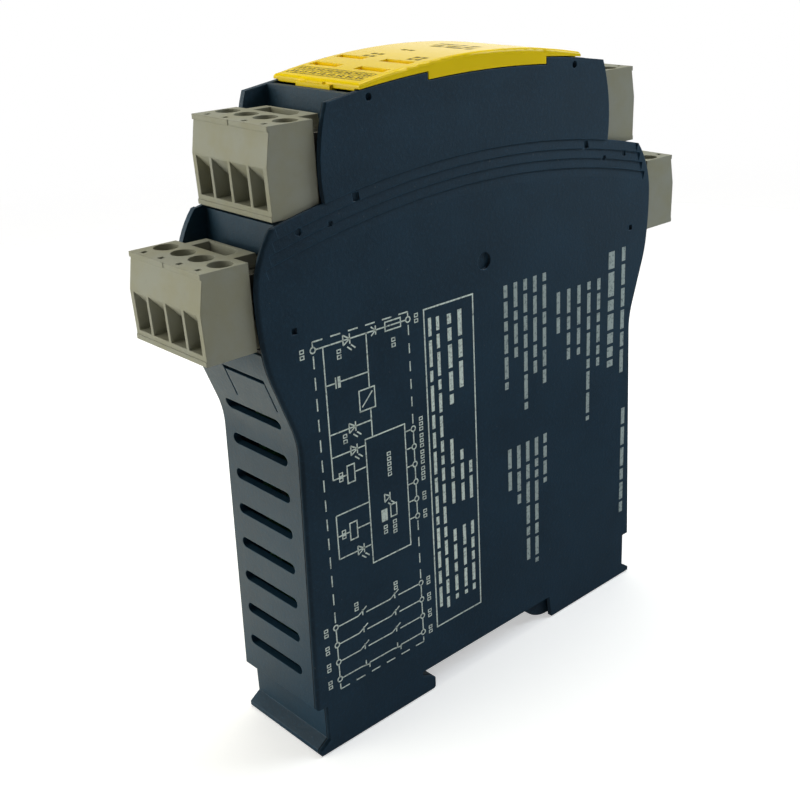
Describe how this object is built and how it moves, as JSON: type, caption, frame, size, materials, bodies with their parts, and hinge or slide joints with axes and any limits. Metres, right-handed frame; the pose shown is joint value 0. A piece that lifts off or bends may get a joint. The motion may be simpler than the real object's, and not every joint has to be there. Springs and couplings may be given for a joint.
{
  "type": "safety relay module",
  "caption": "Narrow rail-mounted safety relay housing with a yellow front cap and pluggable screw terminals on both ends.",
  "frame": {"origin": "centre of the bounding box, at the foot that faces the rail", "axes": "+X along the module's length towards the rail latch, +Y across its width away from the printed cover, +Z from the rail to the front cap"},
  "size_m": [0.1164, 0.0226, 0.1206],
  "materials": {
    "housing_plastic": "fine grained, dark slate",
    "cap_plastic": "smooth yellow",
    "plug_plastic": "fine grained, light grey",
    "header_plastic": "plain black",
    "latch_plastic": "plain, dark slate",
    "zinc_steel": "bright zinc plated",
    "contact_metal": "thinly tinned",
    "spring_steel": "drawn wire",
    "board": "green lacquer",
    "relay_case": "plain off white",
    "can": "drawn can",
    "chip": "moulded black",
    "light_resin": "clear resin",
    "switch_plastic": "plain black",
    "slider_plastic": "plain white"
  },
  "bodies": {
    "module": {"housing_shell": "housing_plastic", "side_cover": "housing_plastic", "latch_spring": "spring_steel", "main_board": "board", "front_board": "board", "relay_left": "relay_case", "relay_right": "relay_case", "smoothing_capacitor": "can", "logic_chip": "chip", "status_lights": "light_resin", "switch_case": "switch_plastic", "header_pins_upper": "contact_metal", "header_pins_lower": "contact_metal", "header_upper_left": "header_plastic", "header_upper_right": "header_plastic", "header_lower_left": "header_plastic", "header_lower_right": "header_plastic"},
    "cap": {"front_cap": "cap_plastic"},
    "latch": {"rail_latch": "latch_plastic"},
    "slider": {"switch_slider": "slider_plastic"},
    "plug_upper_left": {"plug_upper_left": "plug_plastic", "contacts_upper_left": "contact_metal"},
    "screw_upper_left_1": {"screw_upper_left_1": "zinc_steel"},
    "cage_upper_left_1": {"cage_upper_left_1": "zinc_steel"},
    "screw_upper_left_2": {"screw_upper_left_2": "zinc_steel"},
    "cage_upper_left_2": {"cage_upper_left_2": "zinc_steel"},
    "screw_upper_left_3": {"screw_upper_left_3": "zinc_steel"},
    "cage_upper_left_3": {"cage_upper_left_3": "zinc_steel"},
    "screw_upper_left_4": {"screw_upper_left_4": "zinc_steel"},
    "cage_upper_left_4": {"cage_upper_left_4": "zinc_steel"},
    "plug_upper_right": {"plug_upper_right": "plug_plastic", "contacts_upper_right": "contact_metal"},
    "screw_upper_right_1": {"screw_upper_right_1": "zinc_steel"},
    "cage_upper_right_1": {"cage_upper_right_1": "zinc_steel"},
    "screw_upper_right_2": {"screw_upper_right_2": "zinc_steel"},
    "cage_upper_right_2": {"cage_upper_right_2": "zinc_steel"},
    "screw_upper_right_3": {"screw_upper_right_3": "zinc_steel"},
    "cage_upper_right_3": {"cage_upper_right_3": "zinc_steel"},
    "screw_upper_right_4": {"screw_upper_right_4": "zinc_steel"},
    "cage_upper_right_4": {"cage_upper_right_4": "zinc_steel"},
    "plug_lower_left": {"plug_lower_left": "plug_plastic", "contacts_lower_left": "contact_metal"},
    "screw_lower_left_1": {"screw_lower_left_1": "zinc_steel"},
    "cage_lower_left_1": {"cage_lower_left_1": "zinc_steel"},
    "screw_lower_left_2": {"screw_lower_left_2": "zinc_steel"},
    "cage_lower_left_2": {"cage_lower_left_2": "zinc_steel"},
    "screw_lower_left_3": {"screw_lower_left_3": "zinc_steel"},
    "cage_lower_left_3": {"cage_lower_left_3": "zinc_steel"},
    "screw_lower_left_4": {"screw_lower_left_4": "zinc_steel"},
    "cage_lower_left_4": {"cage_lower_left_4": "zinc_steel"},
    "plug_lower_right": {"plug_lower_right": "plug_plastic", "contacts_lower_right": "contact_metal"},
    "screw_lower_right_1": {"screw_lower_right_1": "zinc_steel"},
    "cage_lower_right_1": {"cage_lower_right_1": "zinc_steel"},
    "screw_lower_right_2": {"screw_lower_right_2": "zinc_steel"},
    "cage_lower_right_2": {"cage_lower_right_2": "zinc_steel"},
    "screw_lower_right_3": {"screw_lower_right_3": "zinc_steel"},
    "cage_lower_right_3": {"cage_lower_right_3": "zinc_steel"},
    "screw_lower_right_4": {"screw_lower_right_4": "zinc_steel"},
    "cage_lower_right_4": {"cage_lower_right_4": "zinc_steel"}
  },
  "joints": [
    {"name": "cap_lift", "type": "slide", "parent": "module", "child": "cap", "axis": [0, 0, 1], "range_m": [0, 0.008]},
    {"name": "latch_pull", "type": "slide", "parent": "module", "child": "latch", "axis": [1, 0, 0], "range_m": [0, 0.0045], "stiffness_N_per_m": 1000, "springref_m": -0.003, "deforming": ["latch_spring"]},
    {"name": "function_slide", "type": "slide", "parent": "module", "child": "slider", "axis": [1, 0, 0], "range_m": [0, 0.003]},
    {"name": "plug_upper_left_pull", "type": "slide", "parent": "module", "child": "plug_upper_left", "axis": [-1, 0, 0], "range_m": [0, 0.01]},
    {"name": "screw_upper_left_1_turn", "type": "hinge", "parent": "plug_upper_left", "child": "screw_upper_left_1", "pos_m": [-0.03832, -0.00762, 0.11178], "axis": [0, 0, -1], "range_deg": [0, 1080]},
    {"name": "cage_upper_left_1_rise", "type": "slide", "parent": "plug_upper_left", "child": "cage_upper_left_1", "axis": [0, 0, 1], "range_m": [0, 0.0015]},
    {"name": "screw_upper_left_2_turn", "type": "hinge", "parent": "plug_upper_left", "child": "screw_upper_left_2", "pos_m": [-0.03832, -0.00254, 0.11178], "axis": [0, 0, -1], "range_deg": [0, 1080]},
    {"name": "cage_upper_left_2_rise", "type": "slide", "parent": "plug_upper_left", "child": "cage_upper_left_2", "axis": [0, 0, 1], "range_m": [0, 0.0015]},
    {"name": "screw_upper_left_3_turn", "type": "hinge", "parent": "plug_upper_left", "child": "screw_upper_left_3", "pos_m": [-0.03832, 0.00254, 0.11178], "axis": [0, 0, -1], "range_deg": [0, 1080]},
    {"name": "cage_upper_left_3_rise", "type": "slide", "parent": "plug_upper_left", "child": "cage_upper_left_3", "axis": [0, 0, 1], "range_m": [0, 0.0015]},
    {"name": "screw_upper_left_4_turn", "type": "hinge", "parent": "plug_upper_left", "child": "screw_upper_left_4", "pos_m": [-0.03832, 0.00762, 0.11178], "axis": [0, 0, -1], "range_deg": [0, 1080]},
    {"name": "cage_upper_left_4_rise", "type": "slide", "parent": "plug_upper_left", "child": "cage_upper_left_4", "axis": [0, 0, 1], "range_m": [0, 0.0015]},
    {"name": "plug_upper_right_pull", "type": "slide", "parent": "module", "child": "plug_upper_right", "axis": [1, 0, 0], "range_m": [0, 0.01]},
    {"name": "screw_upper_right_1_turn", "type": "hinge", "parent": "plug_upper_right", "child": "screw_upper_right_1", "pos_m": [0.03832, -0.00762, 0.11178], "axis": [0, 0, -1], "range_deg": [0, 1080]},
    {"name": "cage_upper_right_1_rise", "type": "slide", "parent": "plug_upper_right", "child": "cage_upper_right_1", "axis": [0, 0, 1], "range_m": [0, 0.0015]},
    {"name": "screw_upper_right_2_turn", "type": "hinge", "parent": "plug_upper_right", "child": "screw_upper_right_2", "pos_m": [0.03832, -0.00254, 0.11178], "axis": [0, 0, -1], "range_deg": [0, 1080]},
    {"name": "cage_upper_right_2_rise", "type": "slide", "parent": "plug_upper_right", "child": "cage_upper_right_2", "axis": [0, 0, 1], "range_m": [0, 0.0015]},
    {"name": "screw_upper_right_3_turn", "type": "hinge", "parent": "plug_upper_right", "child": "screw_upper_right_3", "pos_m": [0.03832, 0.00254, 0.11178], "axis": [0, 0, -1], "range_deg": [0, 1080]},
    {"name": "cage_upper_right_3_rise", "type": "slide", "parent": "plug_upper_right", "child": "cage_upper_right_3", "axis": [0, 0, 1], "range_m": [0, 0.0015]},
    {"name": "screw_upper_right_4_turn", "type": "hinge", "parent": "plug_upper_right", "child": "screw_upper_right_4", "pos_m": [0.03832, 0.00762, 0.11178], "axis": [0, 0, -1], "range_deg": [0, 1080]},
    {"name": "cage_upper_right_4_rise", "type": "slide", "parent": "plug_upper_right", "child": "cage_upper_right_4", "axis": [0, 0, 1], "range_m": [0, 0.0015]},
    {"name": "plug_lower_left_pull", "type": "slide", "parent": "module", "child": "plug_lower_left", "axis": [-1, 0, 0], "range_m": [0, 0.01]},
    {"name": "screw_lower_left_1_turn", "type": "hinge", "parent": "plug_lower_left", "child": "screw_lower_left_1", "pos_m": [-0.0524, -0.00762, 0.0923], "axis": [0, 0, -1], "range_deg": [0, 1080]},
    {"name": "cage_lower_left_1_rise", "type": "slide", "parent": "plug_lower_left", "child": "cage_lower_left_1", "axis": [0, 0, 1], "range_m": [0, 0.0015]},
    {"name": "screw_lower_left_2_turn", "type": "hinge", "parent": "plug_lower_left", "child": "screw_lower_left_2", "pos_m": [-0.0524, -0.00254, 0.0923], "axis": [0, 0, -1], "range_deg": [0, 1080]},
    {"name": "cage_lower_left_2_rise", "type": "slide", "parent": "plug_lower_left", "child": "cage_lower_left_2", "axis": [0, 0, 1], "range_m": [0, 0.0015]},
    {"name": "screw_lower_left_3_turn", "type": "hinge", "parent": "plug_lower_left", "child": "screw_lower_left_3", "pos_m": [-0.0524, 0.00254, 0.0923], "axis": [0, 0, -1], "range_deg": [0, 1080]},
    {"name": "cage_lower_left_3_rise", "type": "slide", "parent": "plug_lower_left", "child": "cage_lower_left_3", "axis": [0, 0, 1], "range_m": [0, 0.0015]},
    {"name": "screw_lower_left_4_turn", "type": "hinge", "parent": "plug_lower_left", "child": "screw_lower_left_4", "pos_m": [-0.0524, 0.00762, 0.0923], "axis": [0, 0, -1], "range_deg": [0, 1080]},
    {"name": "cage_lower_left_4_rise", "type": "slide", "parent": "plug_lower_left", "child": "cage_lower_left_4", "axis": [0, 0, 1], "range_m": [0, 0.0015]},
    {"name": "plug_lower_right_pull", "type": "slide", "parent": "module", "child": "plug_lower_right", "axis": [1, 0, 0], "range_m": [0, 0.01]},
    {"name": "screw_lower_right_1_turn", "type": "hinge", "parent": "plug_lower_right", "child": "screw_lower_right_1", "pos_m": [0.0524, -0.00762, 0.0923], "axis": [0, 0, -1], "range_deg": [0, 1080]},
    {"name": "cage_lower_right_1_rise", "type": "slide", "parent": "plug_lower_right", "child": "cage_lower_right_1", "axis": [0, 0, 1], "range_m": [0, 0.0015]},
    {"name": "screw_lower_right_2_turn", "type": "hinge", "parent": "plug_lower_right", "child": "screw_lower_right_2", "pos_m": [0.0524, -0.00254, 0.0923], "axis": [0, 0, -1], "range_deg": [0, 1080]},
    {"name": "cage_lower_right_2_rise", "type": "slide", "parent": "plug_lower_right", "child": "cage_lower_right_2", "axis": [0, 0, 1], "range_m": [0, 0.0015]},
    {"name": "screw_lower_right_3_turn", "type": "hinge", "parent": "plug_lower_right", "child": "screw_lower_right_3", "pos_m": [0.0524, 0.00254, 0.0923], "axis": [0, 0, -1], "range_deg": [0, 1080]},
    {"name": "cage_lower_right_3_rise", "type": "slide", "parent": "plug_lower_right", "child": "cage_lower_right_3", "axis": [0, 0, 1], "range_m": [0, 0.0015]},
    {"name": "screw_lower_right_4_turn", "type": "hinge", "parent": "plug_lower_right", "child": "screw_lower_right_4", "pos_m": [0.0524, 0.00762, 0.0923], "axis": [0, 0, -1], "range_deg": [0, 1080]},
    {"name": "cage_lower_right_4_rise", "type": "slide", "parent": "plug_lower_right", "child": "cage_lower_right_4", "axis": [0, 0, 1], "range_m": [0, 0.0015]}
  ],
  "couplings": [
    {"joint": "screw_upper_left_1_turn", "follows": "cage_upper_left_1_rise", "rad_per_m": 12566},
    {"joint": "screw_upper_left_2_turn", "follows": "cage_upper_left_2_rise", "rad_per_m": 12566},
    {"joint": "screw_upper_left_3_turn", "follows": "cage_upper_left_3_rise", "rad_per_m": 12566},
    {"joint": "screw_upper_left_4_turn", "follows": "cage_upper_left_4_rise", "rad_per_m": 12566},
    {"joint": "screw_upper_right_1_turn", "follows": "cage_upper_right_1_rise", "rad_per_m": 12566},
    {"joint": "screw_upper_right_2_turn", "follows": "cage_upper_right_2_rise", "rad_per_m": 12566},
    {"joint": "screw_upper_right_3_turn", "follows": "cage_upper_right_3_rise", "rad_per_m": 12566},
    {"joint": "screw_upper_right_4_turn", "follows": "cage_upper_right_4_rise", "rad_per_m": 12566},
    {"joint": "screw_lower_left_1_turn", "follows": "cage_lower_left_1_rise", "rad_per_m": 12566},
    {"joint": "screw_lower_left_2_turn", "follows": "cage_lower_left_2_rise", "rad_per_m": 12566},
    {"joint": "screw_lower_left_3_turn", "follows": "cage_lower_left_3_rise", "rad_per_m": 12566},
    {"joint": "screw_lower_left_4_turn", "follows": "cage_lower_left_4_rise", "rad_per_m": 12566},
    {"joint": "screw_lower_right_1_turn", "follows": "cage_lower_right_1_rise", "rad_per_m": 12566},
    {"joint": "screw_lower_right_2_turn", "follows": "cage_lower_right_2_rise", "rad_per_m": 12566},
    {"joint": "screw_lower_right_3_turn", "follows": "cage_lower_right_3_rise", "rad_per_m": 12566},
    {"joint": "screw_lower_right_4_turn", "follows": "cage_lower_right_4_rise", "rad_per_m": 12566}
  ]
}
